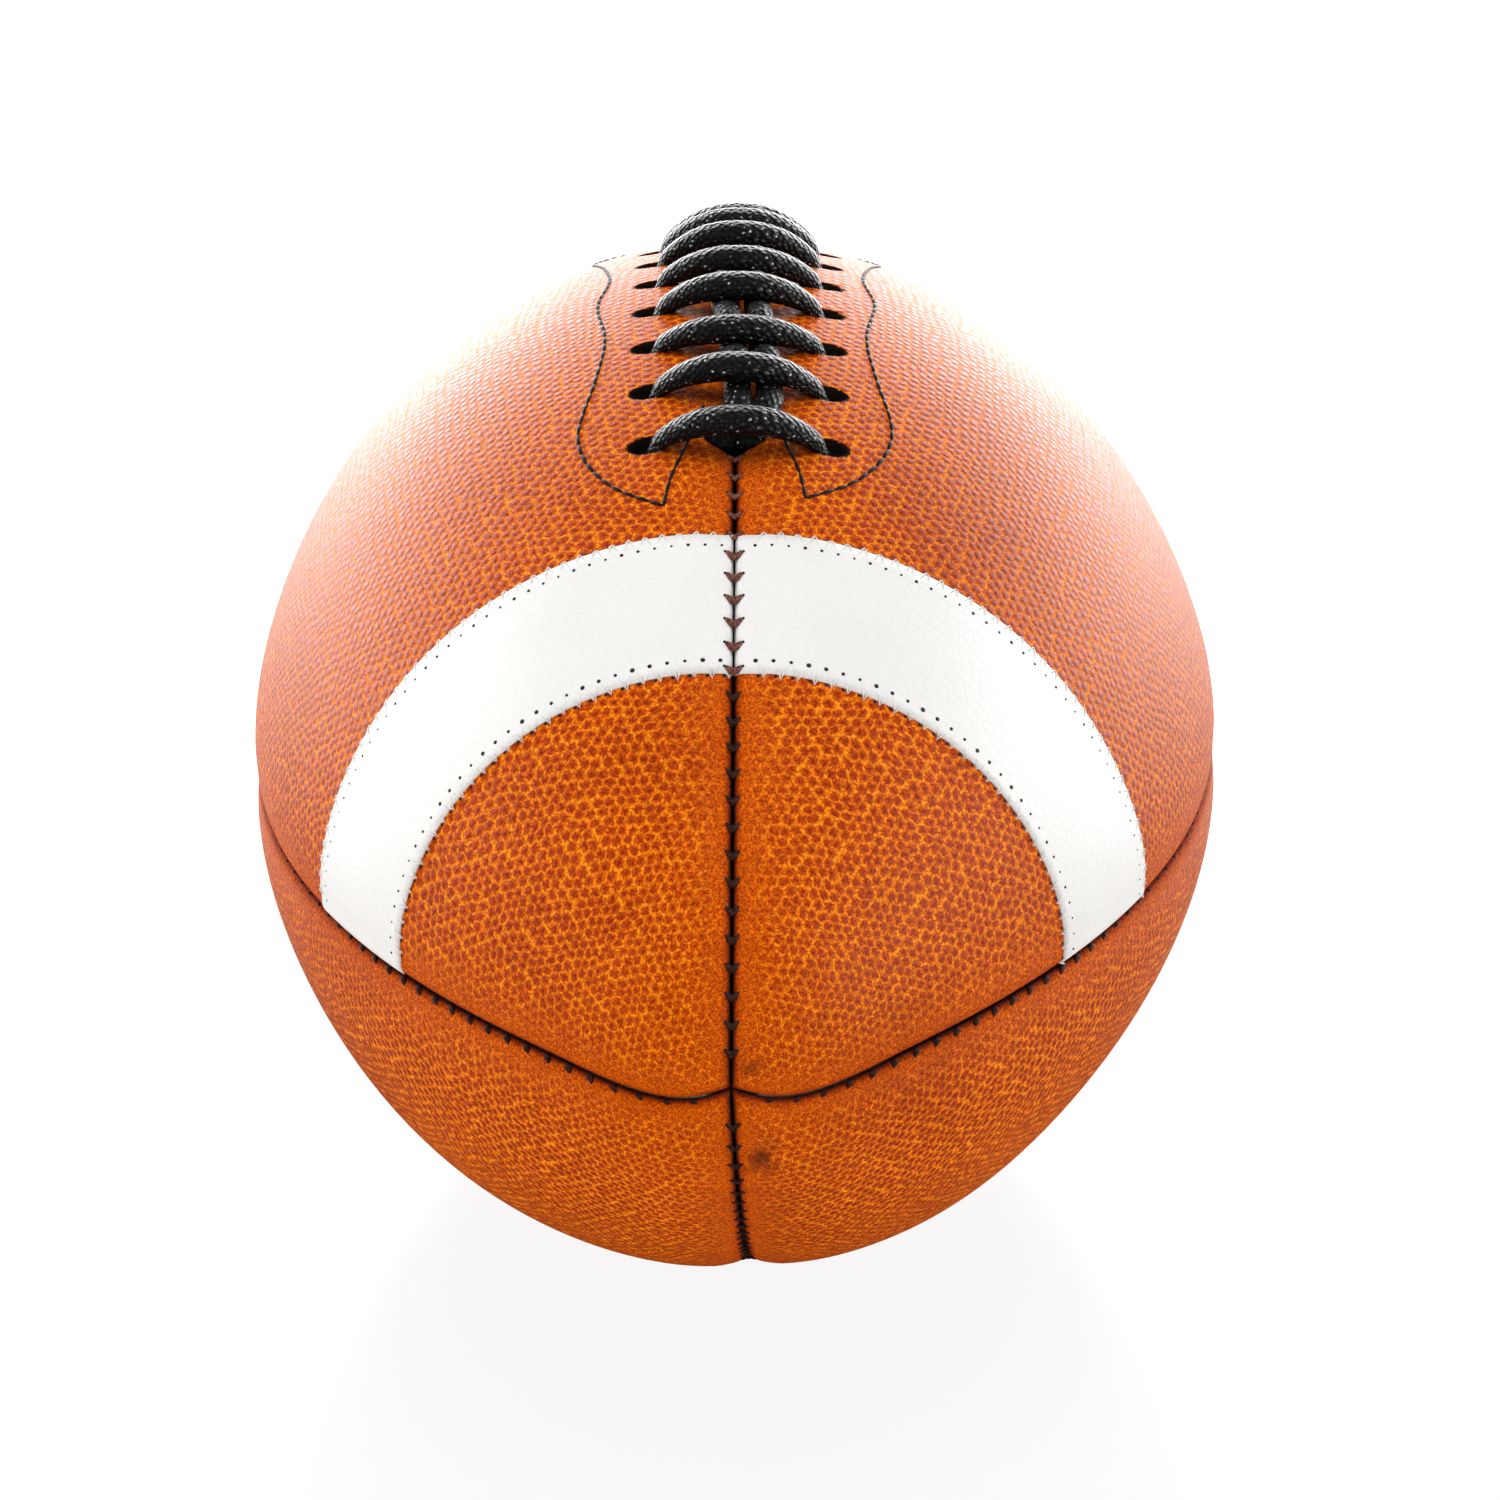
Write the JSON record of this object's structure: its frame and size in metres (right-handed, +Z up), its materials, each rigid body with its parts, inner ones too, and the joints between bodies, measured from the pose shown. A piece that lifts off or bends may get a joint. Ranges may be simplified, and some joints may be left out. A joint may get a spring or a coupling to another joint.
{
  "type": "american football",
  "caption": "Laced leather football: tan pebbled panels with white stripes and black laces round a rubber bladder with a needle valve.",
  "frame": {"origin": "middle of the ball, on its long axis", "axes": "+Y along the long axis to the rear nose, +Z up through the laces, +X to the right as seen from the front nose"},
  "size_m": [0.1712, 0.2778, 0.1802],
  "materials": {
    "tan_leather": "pebbled, semi-gloss",
    "white_stripe": "fine grained, satin",
    "cream_thread": "matt",
    "lining_cloth": "matt",
    "facing_cloth": "matt",
    "black_thread": "matt",
    "black_lace": "pebbled, waxy",
    "bladder_rubber": "matt",
    "valve_rubber": "matt"
  },
  "bodies": {
    "root": {"panel_upper_left": "tan_leather", "panel_lower_left": "tan_leather", "panel_upper_right": "tan_leather", "panel_lower_right": "tan_leather", "stripe_front_left": "white_stripe", "stripe_rear_left": "white_stripe", "stripe_front_right": "white_stripe", "stripe_rear_right": "white_stripe", "stripe_thread_front_left": "cream_thread", "stripe_thread_rear_left": "cream_thread", "stripe_thread_front_right": "cream_thread", "stripe_thread_rear_right": "cream_thread", "lining_upper_left": "lining_cloth", "lining_lower_left": "lining_cloth", "lining_upper_right": "lining_cloth", "lining_lower_right": "lining_cloth", "lace_facing_left": "facing_cloth", "lace_facing_right": "facing_cloth", "facing_thread_left": "black_thread", "facing_thread_right": "black_thread", "seam_thread_top_front": "black_thread", "seam_thread_top_rear": "black_thread", "seam_thread_left": "black_thread", "seam_thread_right": "black_thread", "seam_thread_bottom": "black_thread", "lace": "black_lace", "bladder": "bladder_rubber", "valve_boot": "valve_rubber", "valve_core": "valve_rubber"}
  },
  "joints": []
}
